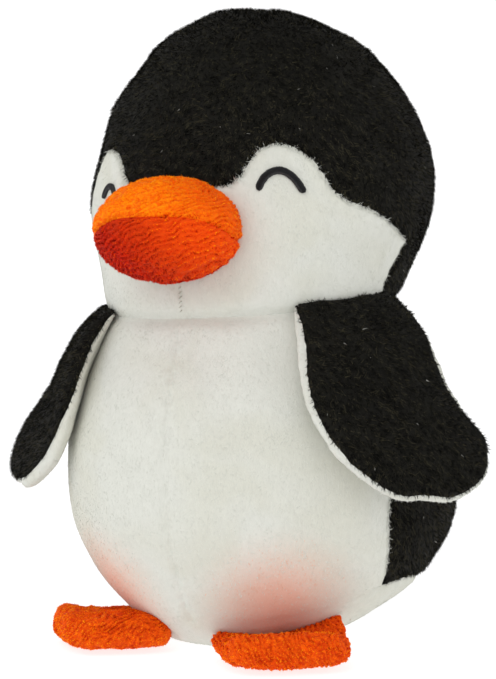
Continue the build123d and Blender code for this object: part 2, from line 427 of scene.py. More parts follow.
class Ball:
    """A stuffed ball given by level rings from its lowest point to its highest."""

    def __init__(self, rings):
        rings = np.array(rings, float)
        through = np.array([1, -1, 1])
        rings = np.vstack([rings[2:0:-1] * through, rings, rings[-2:-4:-1] * through])
        s = np.concatenate([[0], np.cumsum(np.hypot(np.diff(rings[:, 0]), np.diff(rings[:, 1])))])
        self.s = (s - s[2]) / (s[-3] - s[2])
        self.rings = rings
        self.table_s = np.linspace(0, 1, 801)
        self.table = cubic(self.s, rings, self.table_s)

    def place(self, d):
        s = 1 - np.arccos(np.clip(d[..., 2], -1, 1)) / np.pi
        z, r, y = np.moveaxis(cubic(self.s, self.rings, s), -1, 0)
        flat = unit(d[..., :2] + 1e-12)
        return np.stack([r * flat[..., 0], y + r * flat[..., 1], z], -1)

    def ring(self, z):
        """Radius and centre's y of the ring at a height."""
        height, radius, y = self.table.T
        return np.interp(z, height, radius), np.interp(z, height, y)

    def at(self, az, z):
        """The surface point in the direction az from the Z axis, at a height."""
        az, z = np.broadcast_arrays(np.asarray(az, float), np.asarray(z, float))
        r, y = self.ring(z)
        a = np.radians(az)
        reach = -y * np.cos(a) + np.sqrt(r**2 - (y * np.sin(a)) ** 2)
        return pitch_neck(radial(az) * reach[..., None] + np.stack([0 * z, 0 * z, z], -1))

    def normal(self, az, z):
        across = self.at(az + 0.2, z) - self.at(az - 0.2, z)
        up = self.at(az, z + 0.2) - self.at(az, z - 0.2)
        return unit(np.cross(across, up))

    def outside(self, p):
        """How far p is outside the ball, measured level."""
        r, y = self.ring(p[:, 2])
        return np.hypot(p[:, 0], p[:, 1] - y) - r


def pitch_neck(p):
    """Tips the neck seam forward, for the head and the body alike."""
    p = np.array(p, float)
    tip = NECK_PITCH * p[..., 1] + NECK_ROLL * p[..., 0]
    p[..., 2] += tip * bell(p[..., 2] - NECK_Z, NECK_BLEND)
    return p


HEAD = Ball(HEAD_RINGS)
BODY = Ball(BODY_RINGS)


def distance_to_line(p, line):
    """The least distance from each point to a polyline in the plane."""
    best = np.full(len(p), np.inf)
    for a, b in zip(line[:-1], line[1:]):
        ab = b - a
        t = np.clip(((p - a) @ ab) / max(ab @ ab, 1e-12), 0, 1)
        best = np.minimum(best, np.linalg.norm(p - a - t[:, None] * ab, axis=1))
    return best


def inside(p, loop):
    """Whether each point is inside a closed polygon."""
    out = np.zeros(len(p), bool)
    for a, b in zip(loop, np.roll(loop, -1, axis=0)):
        crosses = (a[1] > p[:, 1]) != (b[1] > p[:, 1])
        x = a[0] + (p[:, 1] - a[1]) * (b[0] - a[0]) / (b[1] - a[1] + 1e-12)
        out ^= crosses & (p[:, 0] < x)
    return out


def face_field(p):
    """Millimetres inside the white face's border."""
    scale = math.radians(61)
    corner = FACE_BORDER.index((87.1, 142.1))
    parts = []
    for part in (FACE_BORDER[: corner + 1], FACE_BORDER[corner:]):
        part = np.array(part, float) * (scale, 1)
        s = np.concatenate([[0], np.cumsum(np.linalg.norm(np.diff(part, axis=0), axis=1))])
        parts.append(cubic(s, part, np.linspace(0, s[-1], 48)))
    line = np.vstack([parts[0], parts[1][1:]])
    loop = np.vstack([line, [(-1, line[-1][1]), (-1, line[0][1])]])
    az, z = np.abs(azimuth(p)), p[:, 2]
    drift = np.where(p[:, 0] < 0, bell(az - 44, 18), 0)
    flat = np.stack([(az - 9 * drift) * scale, z - 2 * drift], 1)
    away = distance_to_line(flat, line)
    return np.where(inside(flat, loop), away, -away)


def side_field(p):
    """Millimetres in front of the body's side seam."""
    z, az = np.array(SIDE_SEAM, float).T
    ahead = np.radians(cubic(z, az, np.clip(p[:, 2], 0, 125)) - np.abs(azimuth(p)))
    return ahead * np.hypot(p[:, 0], p[:, 1])


def base_field(p):
    """Millimetres above the base seam."""
    az, z = np.array(BASE_SEAM, float).T
    return (p[:, 2] - cubic(az, z, np.abs(azimuth(p)))) * 1.1


def furrow(p, n, level, seams, seed):
    """Pulls the cloth in along seams, given as (distance, where it applies, depth, width).
    The neck seam goes in level, so that the head and the body stay joined there."""
    deep = np.zeros(len(p))
    near = np.zeros(len(p))
    for distance, mask, depth, width in seams:
        deep = np.maximum(deep, depth * bell(distance, width) * mask)
        near = np.maximum(near, bell(distance, 3 * width) * mask)
    away_from_neck = 1 - bell(level, 4)
    push = deep + 0.16 * near * ripple(p, 4.5, seed) - 0.3 * ripple(p, 26, 12)
    out = p - n * (push * away_from_neck)[:, None]
    out[:, :2] *= 1 - (NECK_TUCK * bell(level, 2.0) / np.hypot(p[:, 0], p[:, 1]).clip(20))[:, None]
    return out


SKIN = 1.2
NECK_TUCK = 0.8
STUFFING_GAP = 3.5


def stand_on_torso(obj, node):
    """A padded piece that rides on the torso and stands for its CAD node."""
    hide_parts(node)
    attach(obj, "torso")


def stitch_panel(name, t, v, n, cloth, node):
    """A skin panel of the torso, kept for its pile."""
    material, slot, panels = CLOTHS[cloth]
    stand_on_torso(make(name, *thicken(v, t, n, SKIN), [material], slot), node)
    panels.append((v, t, n))


def stitch_halves(name, t, v, n, cloth, node):
    for side, sign in SIDES:
        stitch_panel(name + side, *cut(t, sign * v[:, 0], v, n), cloth, node + side)


def stuffing(name, ball, grid, keep, node):
    d, t = geodesic(grid)
    p = pitch_neck(ball.place(d))
    p = p - normals(p, t) * (STUFFING_GAP + 0.4 * ripple(p, 9, 71))[:, None]
    p[:, 2] = keep(p)
    stand_on_torso(make(name, p, t, [FILLING], "fibre_filling", sharp=0), node)


def build_head():
    d, t = geodesic(HEAD_GRID)
    p = HEAD.place(d)
    level = p[:, 2] - NECK_Z
    p = pitch_neck(p)
    n = normals(p, t)
    face = face_field(p)
    back = p[:, 1] - HEAD_BACK_Y
    black = ease(0.5, -0.5, face)
    seams = [
        (face, 1, 0.9, 1.3),
        (back, black, 0.7, 1.3),
        (p[:, 0], black * ease(-1, 1, back), 0.7, 1.3),
        (p[:, 0], 1 - black, 0.6, 1.0),
    ]
    p = furrow(p, n, level, seams, 11)
    n = normals(p, t)
    t, face, back, p, n = cut(t, level, face, back, p, n)
    dark_t, back, dark_p, dark_n = cut(t, -face, back, p, n)
    stitch_halves("face_panel_", *cut(t, face, p, n), "white", "face_")
    stitch_panel("hood_panel", *cut(dark_t, -back, dark_p, dark_n), "black", "head_hood")
    stitch_halves("head_back_panel_", *cut(dark_t, back, dark_p, dark_n), "black", "head_back_")
    stuffing("head_stuffing", HEAD, 24,
             lambda q: np.maximum(q[:, 2], NECK_Z + NECK_PITCH * q[:, 1] + 0.5), "head_filling")


def build_body():
    d, t = geodesic(BODY_GRID)
    p = BODY.place(d)
    level = NECK_Z - p[:, 2]
    p = pitch_neck(p)
    n = normals(p, t)
    front = side_field(p)
    base = base_field(p)
    above = ease(-0.5, 0.5, base)
    seams = [
        (front, above, 1.1, 1.6),
        (base, 0.12 + 0.88 * ease(50, 85, np.abs(azimuth(p))), 1.0, 1.5),
        (p[:, 0], above, 0.7, 1.1),
    ]
    p = furrow(p, n, level, seams, 21)
    p[:, 2] = np.maximum(p[:, 2], 0)
    n = normals(p, t)
    t, front, base, p, n = cut(t, level, front, base, p, n)
    stitch_panel("base_panel_cloth", *cut(t, -base, p, n), "white", "base_panel")
    t, front, p, n = cut(t, base, front, p, n)
    stitch_halves("belly_panel_", *cut(t, front, p, n), "white", "body_front_")
    stitch_halves("back_panel_", *cut(t, -front, p, n), "black", "body_back_")
    stuffing("body_stuffing", BODY, 26,
             lambda q: np.clip(q[:, 2], 1.5, NECK_Z + NECK_PITCH * q[:, 1] - 0.5), "body_filling")


# ---- Pile ----


def pile(name, patches, tips, slot, rate, length, width, lean, seed, shares, comb=(0, 0, -1), tone_at=None,
         wild=0.5, where=None, mark=None):
    """Short tufts over patches of skin, each a closed spike lying along the nap. mark: a number
    for each vertex of a single patch, from which tone_at chooses."""
    g = np.random.default_rng(seed)
    a = np.vstack([v[t[:, 0]] for v, t, n in patches])
    b = np.vstack([v[t[:, 1]] for v, t, n in patches])
    c = np.vstack([v[t[:, 2]] for v, t, n in patches])
    na, nb, nc = (np.vstack([n[t[:, k]] for v, t, n in patches]) for k in range(3))
    area = np.linalg.norm(np.cross(b - a, c - a), axis=1) / 2
    count = int(area.sum() * rate)
    k = np.searchsorted(np.cumsum(area) / area.sum(), g.random(count)).clip(0, len(area) - 1)
    s, q = g.random((2, count, 1))
    fold = s + q > 1
    s, q = np.where(fold, 1 - s, s), np.where(fold, 1 - q, q)
    p = a[k] + (b[k] - a[k]) * s + (c[k] - a[k]) * q
    n = unit(na[k] + (nb[k] - na[k]) * s + (nc[k] - na[k]) * q)
    kept = p[:, 2] > 0.5
    if where is not None:
        kept &= where(p)
    p, n = p[kept], n[kept]
    count = len(p)
    nap = np.array(comb, float) + 0.25 * np.stack([ripple(p, 22, seed + i) for i in range(3)], 1)
    nap = nap + wild * g.normal(size=(count, 3))
    nap = unit(nap - n * (nap * n).sum(1, keepdims=True))
    spread = (90 - lean) / 33
    angle = np.radians(lean + spread * (9 * g.normal(size=(count, 1)) + 7 * ripple(p, 9, seed + 5)[:, None]))
    reach = length * (1 + 0.22 * g.normal(size=(count, 1))).clip(0.4, 1.7)
    way = n * np.cos(angle) + nap * np.sin(angle)
    across = unit(np.cross(n, nap) + 0.3 * spread * n * g.normal(size=(count, 1)))
    wide = width / 2 * g.uniform(0.7, 1.3, (count, 1))
    sunk = p - n * 0.08
    corners = np.stack([sunk + across * wide, sunk - across * wide, sunk - n * 0.12, p + way * reach], 1)
    corners[..., 2] = np.maximum(corners[..., 2], 0.03)
    ids = np.arange(count)[:, None, None] * 4
    t = (np.array([(1, 3, 0), (0, 3, 2), (3, 1, 2), (0, 2, 1)])[None] + ids).reshape(-1, 3)
    tone = np.searchsorted(np.cumsum(shares), g.random(count) * sum(shares)).clip(0, len(tips) - 1)
    if mark is not None:
        ma, mb, mc = mark[patches[0][1]].T
        tone = (ma[k] + (mb[k] - ma[k]) * s[:, 0] + (mc[k] - ma[k]) * q[:, 0])[kept]
    if tone_at is not None:
        tone = tone_at(p, tone, g)
    return make(name, corners.reshape(-1, 3), t, tips, slot, tone=np.repeat(tone, 4), sharp=0, smooth=False)


# Of each pile: tufts per square millimetre, their length, width and lean
RATE = 1
BLACK_NAP = (2.6 * RATE, 1.6, 0.34, 57)
WHITE_NAP = (1.3 * RATE, 1.1, 0.3, 83)
BORDER_NAP = (3.2, 1.6, 0.28, 66)
# Border pile grows this near a border, and no lower than this
BORDER_REACH = 1.3
BORDER_LOW = 30
BLACK_SHARES = [0.5, 0.34, 0.159, 0.0008]
WHITE_SHARES = [0.3, 0.4, 0.3, 0]


def streaked(p, tone, g):
    """Painted sheen: black pile tips paler in fine patches, where the nap would catch the light."""
    level = 0.55 * ripple(p * (1, 1, 0.5), 2.4, 91) + 0.6 * g.normal(size=len(p))
    return np.where(tone == 3, 3, np.digitize(level, (0.05, 0.55)))


# Painted reflection: near each foot, white tufts take the warm tone of light bounced off the orange feet.
def blush_tone(p, tone, g):
    for side in (-1, 1):
        spot = radial(np.array(side * 33.0)) * 60 + np.array((0, 0, 20))
        near = ease(28, 5, np.linalg.norm(p - spot, axis=1)) * 0.7
        tone = np.where(g.random(len(p)) < near, 3, tone)
    return tone


# Of each cloth's pile: its tips, nap and shares
NAPS = {"black": (BLACK_TIPS, BLACK_NAP, BLACK_SHARES), "white": (WHITE_TIPS, WHITE_NAP, WHITE_SHARES)}


def torso_pile():
    above, below = {}, {}
    for cloth, (_, _, panels) in CLOTHS.items():
        above[cloth] = [s for s in panels if s[0][:, 2].mean() > NECK_Z]
        below[cloth] = [s for s in panels if s[0][:, 2].mean() <= NECK_Z]
    for name, skin, cloth, seed, tone in (
        ("head_black_pile_", above, "black", 101, streaked),
        ("body_black_pile_", below, "black", 111, streaked),
        ("face_white_pile_", above, "white", 121, blush_tone),
        ("belly_white_pile_", below, "white", 131, blush_tone),
    ):
        tuft, nap, shares = NAPS[cloth]
        for side, sign in SIDES:
            halves = [cut(t, sign * v[:, 0] + 0.01, v, n) for v, t, n in skin[cloth]]
            halves = [(v, t, n) for t, v, n in halves if len(t)]
            obj = pile(name + side, halves, tuft, CLOTHS[cloth][1], *nap, seed + sign, shares, tone_at=tone)
            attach(obj, "torso")
    for name, skin, cloth, field, seed in (
        ("face_border_white_pile", above, "white", face_field, 141),
        ("face_border_black_pile", above, "black", face_field, 142),
        ("side_border_white_pile", below, "white", side_field, 143),
        ("side_border_black_pile", below, "black", side_field, 144),
    ):
        tuft, _, shares = NAPS[cloth]
        obj = pile(name, skin[cloth], tuft, CLOTHS[cloth][1], *BORDER_NAP, seed, shares, wild=1.6,
                   where=lambda p: (np.abs(field(p)) < BORDER_REACH) & (p[:, 2] > BORDER_LOW))
        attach(obj, "torso")


# ---- Beak ----

BEAK_CENTRE = np.array((0, -66.6, 144.2))
BEAK_HALF = np.array((25.4, 21.3, 17.4))
BEAK_DENT = np.array((-1.0, -84.5, 153.0))
BEAK_NAP = (3.2, 0.56, 0.35, 48)


def beak_rib(p):
    """From -1 in the valleys to 1 on the crests of the towelling's ribs."""
    bent = 0.55 * ripple(p, 10, 44) + 0.12 * ripple(p, 3, 45)
    wave = np.sin((p[:, 2] * 0.85 - p[:, 0] * 0.35 + bent) * 2 * np.pi / 1.5)
    return wave * np.clip(0.8 + 0.35 * ripple(p, 3.2, 43), 0.1, 1.3)


def foot_rib(p):
    bent = 0.75 * ripple(p, 11, 84) + 0.17 * ripple(p, 3, 85)
    wave = np.sin((p[:, 0] * 0.75 + p[:, 1] * 0.3 + p[:, 2] * 0.6 + bent) * 2 * np.pi / 1.7)
    return wave * np.clip(0.85 + 0.3 * ripple(p, 3.5, 83), 0.2, 1.3)


def rib_tone(contrast, lift):
    """Painted light and shade: chooses bright loops on the ribs' crests and dark ones in their valleys, and
    more bright ones where lift, the painted light, is high.
    """

    def choose(p, rib, g):
        level = contrast * rib + 0.3 * g.normal(size=len(p)) + lift(p)
        return np.digitize(level, (-2.2, -1.3, -0.35, 0.45, 1.5))

    return choose


def beak_seam(p):
    """Millimetres above the seam between the beak's two halves."""
    return p[:, 2] - (140.3 + 7.4 * ease(-60, -87, p[:, 1]) - 2.6 * ease(-4, -24, p[:, 0]))


# Painted light on the upper beak: bright overall, with painted shade towards the seam, in its groove, and
# towards +X.
def upper_painted_light(p):
    seam = beak_seam(p)
    shade = 1.2 * ease(4, 0, seam), bell(seam, 0.8), 1.1 * ease(4, 22, p[:, 0] + 0.6 * (p[:, 2] - 144))
    return 1.95 - shade[0] - shade[1] - shade[2]


# Painted shade on the lower beak: dark overall, lighter just under the seam, darkest in its groove, with
# painted light towards +X.
def lower_painted_light(p):
    seam = beak_seam(p)
    light = 1.6 * ease(0, 22, p[:, 0] + 0.5 * (p[:, 2] - 134))
    return -1.95 + 1.0 * ease(-4, 0, seam) - 1.5 * bell(seam, 0.8) + light


def build_beak():
    d, t = geodesic(BEAK_GRID)
    p = BEAK_CENTRE + d * BEAK_HALF
    n = normals(p, t)
    seam = beak_seam(p)
    dent = 0.9 * bell(np.linalg.norm((p - BEAK_DENT) * (0.45, 1, 1), axis=1), 2.2)
    deep = 1.2 * bell(seam, 1.0) + 0.15 * ripple(p, 14, 41) + dent
    rib = beak_rib(p)
    p = p - n * (deep - 0.36 * rib)[:, None]
    n = normals(p, t)
    t, seam, p, n, rib = cut(t, HEAD.outside(p) + 2.2, seam, p, n, rib)
    for label, field, material, seed, tone in (
        ("upper", seam, ORANGE_PAINTED_LIT, 51, rib_tone(1.2, upper_painted_light)),
        ("lower", -seam, ORANGE_PAINTED_SHADE, 52, rib_tone(1.7, lower_painted_light)),
    ):
        pt, pv, pn, mark = cut(t, field, p, n, rib)
        obj = make("beak_panel_" + label, *thicken(pv, pt, pn, 1.0), [material], "orange_plush")
        stand_on_torso(obj, "beak_" + label)
        tufts = pile("beak_pile_" + label, [(pv, pt, pn)], BEAK_LOOPS, "orange_plush", *BEAK_NAP, seed, [1],
                     comb=(0.3, 0, -1), tone_at=tone, mark=mark)
        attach(tufts, "torso")
    d, t = geodesic(16)
    p = BEAK_CENTRE + d * (BEAK_HALF - 3.2)
    t, p = cut(t, HEAD.outside(p) + 1.0, p)
    n = normals(p, t)
    stand_on_torso(make("beak_stuffing", *thicken(p, t, n, 2.0), [FILLING], "fibre_filling"), "beak_filling")


# ---- Eyes: satin stitch ----

EYE_PATHS = {
    "left": [(26.7, 157.4), (29.1, 161.8), (33.4, 163.8), (37.8, 161.6), (41.2, 156.6)],
    "right": [(-28.4, 157.4), (-30.6, 160.3), (-33.4, 161.2), (-35.4, 160.0), (-36.8, 157.7)],
}
EYE_WIDTH = {"left": 2.55, "right": 2.1}


def build_eyes():
    for side, path in EYE_PATHS.items():
        g = np.random.default_rng(7)
        path = np.array(path, float)
        flat = path * (math.radians(60), 1)
        s = np.concatenate([[0], np.cumsum(np.linalg.norm(np.diff(flat, axis=0), axis=1))])
        count = int(s[-1] / 0.24)
        at = np.linspace(0, s[-1], count)
        line = cubic(s, path, at)
        centre = HEAD.at(line[:, 0], line[:, 1])
        up = HEAD.normal(line[:, 0], line[:, 1])
        along = unit(np.gradient(centre, axis=0))
        across = unit(np.cross(up, along))
        ends = np.minimum(at, s[-1] - at)
        half = EYE_WIDTH[side] / 2 * np.sqrt(np.clip(1 - (1 - np.clip(ends / 1.1, 0, 1)) ** 2, 0.25, 1))
        half = half * g.uniform(0.93, 1.07, count)
        verts, tris = [], []
        spans = np.linspace(-1, 1, 9)
        slant = 0.16
        for i in range(count):
            ring = []
            for x in spans:
                lift = 0.15 + 0.75 * math.sqrt(max(1 - x * x, 0))
                ring.append(centre[i] + across[i] * x * half[i] + along[i] * x * slant + up[i] * lift)
            ring = np.array(ring)
            for k, (a, h) in enumerate(((-0.17, 0), (0, 0.15), (0.17, 0), (0, -0.5))):
                verts.append(ring + along[i] * a + up[i] * h)
            base = i * 4 * len(spans)
            for k in range(4):
                for j in range(len(spans) - 1):
                    a, b = base + k * 9 + j, base + ((k + 1) % 4) * 9 + j
                    tris += [(a, a + 1, b), (a + 1, b + 1, b)]
            for j in (0, 8):
                q = [base + k * 9 + j for k in range(4)]
                q = q if j else q[::-1]
                tris += [(q[0], q[1], q[2]), (q[0], q[2], q[3])]
        t = np.array(tris)[:, ::-1]
        obj = make("eye_stitches_" + side, np.vstack(verts), t, [EYE], "eye_thread", sharp=70)
        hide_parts("eye_" + side)
        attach(obj, "torso")


def build_centre_stitches():
    """Small hand stitches that close the face's centre seam under the beak."""
    verts, tris = [], []
    for i, z in enumerate(np.arange(123.5, 134, 1.35)):
        low, high = (HEAD.at(az, zz) for az, zz in ((-0.45, z - 0.3), (0.45, z + 0.3)))
        n = HEAD.normal(0, z)
        up = np.array((0, 0, 1))
        ring = [(0.16, 0), (0, 0.2), (-0.16, 0), (0, -0.45)]
        for end in (low, (low + high) / 2 + n * 0.15, high):
            verts += [end + up * a + n * (h - 0.15) for a, h in ring]
        base = 12 * i
        for r in range(2):
            for k in range(4):
                a, b = base + 4 * r + k, base + 4 * r + (k + 1) % 4
                tris += [(a, a + 4, b), (b, a + 4, b + 4)]
        tris += [(base, base + 1, base + 2), (base, base + 2, base + 3)]
        tris += [(base + 10, base + 9, base + 8), (base + 11, base + 10, base + 8)]
    v = np.array(verts)
    t = np.array(tris)
    if (normals(v, t)[1::12, 1] > 0).mean() > 0.5:
        t = t[:, ::-1]
    obj = make("face_centre_stitches", v, t, [STITCH], "white_plush", sharp=70)
    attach(obj, "torso")


# ---- Flat stuffed pieces ----


def closed_curve(points, step):
    """Points about step apart on a smooth closed curve through the given ones."""
    p = np.array(points, float)
    wrapped = np.vstack([p[-4:], p, p[:5]])
    s = np.concatenate([[0], np.cumsum(np.linalg.norm(np.diff(wrapped, axis=0), axis=1))])
    dense = cubic(s, wrapped, np.linspace(s[4], s[4 + len(p)], 1200))
    run = np.concatenate([[0], np.cumsum(np.linalg.norm(np.diff(dense, axis=0), axis=1))])
    count = int(run[-1] / step)
    at = np.arange(count) * run[-1] / count
    return np.stack([np.interp(at, run, dense[:, k]) for k in range(2)], 1)


def rim_distance(p, rim):
    loop = np.vstack([rim, rim[:1]])
    away = distance_to_line(p, loop)
    return np.where(inside(p, rim), away, -away)


def stuffed(points, step, thick, seed, full, levels=2):
    """A stuffed pad sewn from two cut shapes, at its full thickness a distance in from the rim.
    Returns its vertices, triangles and, for each vertex, its distance in from the rim, negative
    on the under side."""
    rim = closed_curve(points, step)
    low, high = rim.min(0), rim.max(0)
    rows = []
    for j, y in enumerate(np.arange(low[1], high[1], step * 0.866)):
        xs = np.arange(low[0] + (j % 2) * step / 2, high[0], step)
        rows.append(np.stack([xs, np.full(len(xs), y)], 1))
    inner = np.vstack(rows)
    inner = inner[rim_distance(inner, rim) > 0.75 * step]
    flat = np.vstack([rim, inner])
    m = len(rim)
    made = delaunay_2d_cdt([Vector(q) for q in flat], [(i, (i + 1) % m) for i in range(m)], [], 1, 1e-5)
    flat = np.array([tuple(q) for q in made[0]])
    tri = np.array([f for f in made[2]])
    a, b, c = flat[tri[:, 0]], flat[tri[:, 1]], flat[tri[:, 2]]
    turned = (b - a)[:, 0] * (c - a)[:, 1] - (b - a)[:, 1] * (c - a)[:, 0] < 0
    tri[turned] = tri[turned][:, ::-1]
    d = np.maximum(rim_distance(flat, rim), 0)
    on_rim = d < 1e-3
    under = np.full(len(flat), -1)
    under[on_rim] = np.nonzero(on_rim)[0]
    under[~on_rim] = len(flat) + np.arange((~on_rim).sum())
    v = np.vstack([np.c_[flat, np.zeros(len(flat))], np.c_[flat[~on_rim], np.zeros((~on_rim).sum())]])
    q = np.concatenate([d, -d[~on_rim]])
    t = np.vstack([tri, under[tri][:, ::-1]])
    dome = thick / 2 * np.sqrt(np.clip(1 - (1 - np.abs(q) / full).clip(0, 1) ** 2, 0, 1))
    v[:, 2] = np.sign(q) * dome
    v = inflate(v, t, q, thick, seed)
    return refine(v, t, q, levels)


def inflate(v, t, q, thick, seed):
    """Fills the pad by cloth simulation, then keeps its cut outline and its thickness."""
    scale = 0.02
    g = np.random.default_rng(seed)
    start = v.copy()
    start[:, 2] = v[:, 2] * 0.35 + 0.15 * g.normal(size=len(v))
    start[:, :2] *= 1.04
    obj = make("pad_in_work", start * scale / MM, t, [], None, sharp=0)
    cloth = obj.modifiers.new("cloth", "CLOTH")
    s = cloth.settings
    s.quality = 6
    s.mass = 0.3
    s.tension_stiffness = s.compression_stiffness = 25
    s.shear_stiffness = 8
    s.bending_stiffness = 0.3
    s.use_pressure = True
    s.uniform_pressure_force = 5
    s.effector_weights.gravity = 0
    scene = bpy.context.scene
    cloth.point_cache.frame_start = 1
    cloth.point_cache.frame_end = 30
    for f in range(1, 25):
        scene.frame_set(f)
    done = obj.evaluated_get(bpy.context.evaluated_depsgraph_get()).data
    out = np.zeros(len(v) * 3, np.float32)
    done.vertices.foreach_get("co", out)
    out = out.reshape(-1, 3).astype(float) / scale
    scene.frame_set(1)
    mesh = obj.data
    bpy.data.objects.remove(obj)
    bpy.data.meshes.remove(mesh)
    rim = np.abs(q) < 1e-3
    known = np.c_[out[rim][:, :2], np.ones(rim.sum())]
    fit, *_ = np.linalg.lstsq(known, v[rim][:, :2], rcond=None)
    moved = np.c_[out[:, :2], np.ones(len(out))] @ fit
    shift = np.clip(moved - v[:, :2], -2.5, 2.5) * ease(0, 9, np.abs(q))[:, None]
    tall = np.percentile(np.abs(out[:, 2]), 97)
    out[:, 2] *= thick / 2 / tall
    share = 0.15 + 0.4 * ease(0, 8, np.abs(q))
    out[:, 2] = np.clip(share * out[:, 2] + (1 - share) * v[:, 2], -0.62 * thick, 0.62 * thick)
    out[:, :2] = v[:, :2] + shift
    return out


def refine(v, t, q, levels):
    """Subdivides and smooths, carrying q along."""
    mesh = bpy.data.meshes.new("refine")
    mesh.from_pydata(v.tolist(), [], t.tolist())
    attribute = mesh.attributes.new("q", "FLOAT", "POINT")
    attribute.data.foreach_set("value", q.astype(np.float32))
    obj = bpy.data.objects.new("refine", mesh)
    bpy.context.scene.collection.objects.link(obj)
    sub = obj.modifiers.new("sub", "SUBSURF")
    sub.levels = sub.render_levels = levels
    done = obj.evaluated_get(bpy.context.evaluated_depsgraph_get()).data
    out = np.zeros(len(done.vertices) * 3, np.float32)
    done.vertices.foreach_get("co", out)
    qs = np.zeros(len(done.vertices), np.float32)
    done.attributes["q"].data.foreach_get("value", qs)
    done.calc_loop_triangles()
    tris = np.zeros(len(done.loop_triangles) * 3, np.int32)
    done.loop_triangles.foreach_get("vertices", tris)
    bpy.data.objects.remove(obj)
    bpy.data.meshes.remove(mesh)
    return out.reshape(-1, 3).astype(float), tris.reshape(-1, 3), qs.astype(float)


def sew_limb(sign):
    """For a left limb facing out, mirrored where sign is -1: its mirror, and what hides a piece's CAD node
    and bakes the piece's place into its mesh."""
    flip = np.array((sign, 1, 1))

    def sew(obj, node=None):
        if node:
            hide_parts(node)
        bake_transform(obj)

    return flip, sew


# ---- Wings ----

# Of each side: the way the wing faces, its lean, how high its root stands on the neck seam, how
# far its lower part hangs in towards the body, and how much its rear flares out there
WING_POSE = {"left": (60.0, 26.0, 2.6, 0, 0), "right": (56.0, 27.0, 0.8, 7.6, 0.2)}
WING_ROOT_R = 57.0
WING_ROOT_Z = 118.0
WING_THICK = 10.5
LIMB_SKIN = 0.9
# How far the lining comes round the rim, and how much further at the shoulder and at the tip
WING_WRAP = 1.4
WING_WRAP_MORE = {"left": (0.9, 0.0), "right": (-3.4, 2.2)}
WING_PLAN = [
    (-20, -2.6), (-5, -4.5), (6.6, -7.3), (13, -8), (19, -7), (23, -4), (29, 11.4), (30, 23.5),
    (32.4, 33), (38, 44.5), (40, 49), (38.4, 57), (35.6, 62.6), (27.7, 67.8), (19, 70.5), (6, 69.7),
    (-2.6, 69), (-14.2, 61.8), (-20.5, 55.4), (-25.2, 47.3), (-28, 39), (-28.8, 26), (-26.4, 13.9),
]


def on_wing(v, pose):
    """Takes a pad's points (back, down, out) to a left wing, with its root in the neck seam."""
    az, lean, stand, tuck, flare = pose
    v = v + (0, 0, 1) * (ease(14, 60, v[:, 1]) * (flare * (v[:, 0] + 22) - tuck))[:, None]
    out = radial(np.array(az))
    back = np.array((-out[1], out[0], 0))
    down = out * math.sin(math.radians(lean)) - np.array((0, 0, math.cos(math.radians(lean))))
    root = out * WING_ROOT_R + np.array((0, 0, WING_ROOT_Z))
    p = root + v[:, :1] * back + v[:, 1:2] * down + v[:, 2:] * np.cross(down, back)
    turn = azimuth(p)
    r, y = HEAD.ring(np.full(len(p), float(NECK_Z)))
    a = np.radians(turn)
    reach = -y * np.cos(a) + np.sqrt(r**2 - (y * np.sin(a)) ** 2)
    root = radial(turn) * (reach + 0.7 + 0.45 * stand)[:, None]
    root[:, 2] = NECK_Z + NECK_PITCH * root[:, 1] + stand + 0.35 * v[:, 2]
    hold = ease(13, -4, v[:, 1])[:, None]
    return p * (1 - hold) + root * hold


def build_wings():
    v, t, q = stuffed(WING_PLAN, 2.2, WING_THICK, 61, 12)
    t = t[:, ::-1]
    for side, sign in SIDES:
        body = "wing_" + side
        pose = WING_POSE[side]
        shoulder, tip = WING_WRAP_MORE[side]
        wrap = WING_WRAP + shoulder * bell(v[:, 1] - 18, 20)
        wrap = wrap + tip * ease(28, 48, v[:, 1]) * ease(12, -6, v[:, 0])
        seam = q - wrap * ease(-2, 9, v[:, 1])
        flip, sew = sew_limb(sign)
        p = on_wing(v, pose)
        n = normals(p, t)
        p = p - n * (0.55 * bell(seam, 0.9) - 0.15 * ripple(p * flip, 14, 62))[:, None]
        n = normals(p, t)
        for label, field, cloth, seed, tone in (
            ("outer", seam, "black", 68, streaked),
            ("lining", -seam, "white", 69, None),
        ):
            material, slot, _ = CLOTHS[cloth]
            tuft, nap, shares = NAPS[cloth]
            pt, pv, pn = cut(t, field, p, n)
            pv, pn, pt = pv * flip, pn * flip, pt[:, ::sign]
            obj = make(body + "_panel_" + label, *thicken(pv, pt, pn, LIMB_SKIN), [material], slot)
            sew(obj, body + "_" + label)
            sew(pile(body + "_pile_" + label, [(pv, pt, pn)], tuft, slot, *nap, seed + 2 * sign, shares,
                     tone_at=tone))
        core = on_wing(v * (0.93, 0.97, 0.5) + (0, 1.5, 0), pose)
        obj = make(body + "_stuffing", core * flip, t[:, ::sign], [FILLING], "fibre_filling", sharp=0)
        sew(obj, body + "_filling")


# ---- Feet ----

# Of each side: the way the foot points, how far its outer rear corner climbs the body, how
# hollow it is behind the toes, and how full along its inner side
FOOT_POSE = {"left": (35.6, 6.5, 1.0, 0.25), "right": (45.5, -3.5, 0.34, 1.0)}
FOOT_THICK = 14.0
FOOT_NAP = (3.4, 0.52, 0.34, 45)
FOOT_PLAN = [
    (0, 39.6), (12, 39.4), (19, 42.1), (21.3, 50), (21.5, 58), (20.5, 66.3), (17.4, 72), (10.2, 75.2),
    (0, 75.8), (-10.2, 75.2), (-18.5, 72), (-22.1, 66.3), (-23.3, 58), (-24, 50), (-22.6, 40), (-13, 37.2),
]


